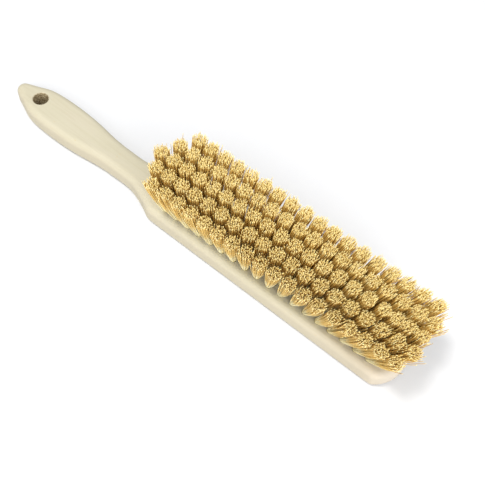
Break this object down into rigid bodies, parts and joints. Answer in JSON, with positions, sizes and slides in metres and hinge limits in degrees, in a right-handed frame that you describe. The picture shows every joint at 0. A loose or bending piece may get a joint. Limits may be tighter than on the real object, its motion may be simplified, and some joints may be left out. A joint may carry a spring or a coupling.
{
  "type": "bee brush",
  "caption": "Bee brush: long wooden block with a flat waisted handle and hanging hole, set with splayed rows of stiff plant-fibre tufts.",
  "frame": {"origin": "on the centre line of the stock's flat back, 82.5 mm in from the block's rounded end", "axes": "+X along the stock towards the block's rounded end, the handle lies towards -X; +Z the way the bristles point; +Y across the block"},
  "size_m": [0.3063, 0.05, 0.051],
  "materials": {
    "wood": "bare fine-sanded pale hardwood",
    "fibre": "stiff yellow-brown plant fibre, trimmed flat",
    "wire": "drawn steel wire"
  },
  "bodies": {
    "root": {"stock": "wood", "tufts_01": "fibre", "tufts_02": "fibre", "tufts_03": "fibre", "tufts_04": "fibre", "tufts_05": "fibre", "tufts_06": "fibre", "tufts_07": "fibre", "tufts_08": "fibre", "tufts_09": "fibre", "tufts_10": "fibre", "tufts_11": "fibre", "tufts_12": "fibre", "tufts_13": "fibre", "tufts_14": "fibre", "tufts_15": "fibre", "tufts_16": "fibre", "tufts_17": "fibre", "tufts_18": "fibre", "tufts_19": "fibre", "tufts_20": "fibre", "staples_01": "wire", "staples_02": "wire", "staples_03": "wire", "staples_04": "wire", "staples_05": "wire", "staples_06": "wire", "staples_07": "wire", "staples_08": "wire", "staples_09": "wire", "staples_10": "wire", "staples_11": "wire", "staples_12": "wire", "staples_13": "wire", "staples_14": "wire", "staples_15": "wire", "staples_16": "wire", "staples_17": "wire", "staples_18": "wire", "staples_19": "wire", "staples_20": "wire"}
  },
  "joints": []
}
